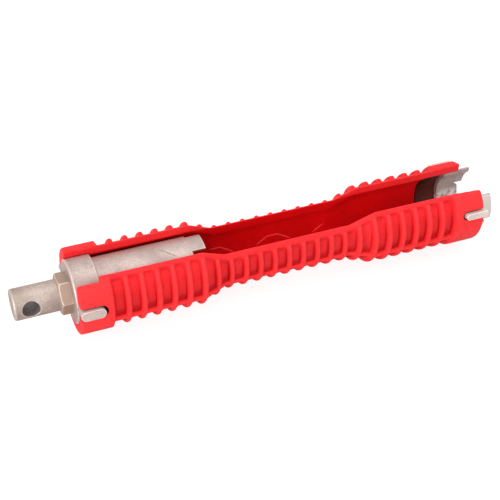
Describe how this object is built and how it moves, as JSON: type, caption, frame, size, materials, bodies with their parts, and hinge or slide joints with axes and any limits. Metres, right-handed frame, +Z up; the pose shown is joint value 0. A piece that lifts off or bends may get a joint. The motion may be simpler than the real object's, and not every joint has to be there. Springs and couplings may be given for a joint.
{
  "type": "basin wrench",
  "caption": "Double-ended basin wrench: ribbed tube body with an open channel, a keyed sleeve with a drive stub at one end and an open crown socket at the other.",
  "frame": {"origin": "centre of the overall box, on the surface the tool lies on", "axes": "X along the tool with the socket end towards +X and the drive stub towards -X, Z up through the open channel, Y across"},
  "size_m": [0.3242, 0.0582, 0.0486],
  "materials": {
    "body_plastic": "satin moulded, red",
    "plated_metal": "satin nickel plating",
    "key_metal": "satin nickel plating",
    "driver_metal": "turned, satin nickel plating",
    "socket_metal": "cast, satin nickel plating"
  },
  "bodies": {
    "housing": {"body": "body_plastic"},
    "sleeve_unit": {"sleeve": "plated_metal", "sleeve_key_front": "key_metal", "sleeve_key_back": "key_metal", "driver": "driver_metal"},
    "socket_unit": {"socket": "socket_metal", "socket_key_front": "key_metal", "socket_key_back": "key_metal"}
  },
  "joints": [
    {"name": "sleeve_draw", "type": "slide", "parent": "housing", "child": "sleeve_unit", "axis": [-1, 0, 0], "range_m": [0, 0.09]},
    {"name": "socket_draw", "type": "slide", "parent": "housing", "child": "socket_unit", "axis": [1, 0, 0], "range_m": [0, 0.028]}
  ]
}
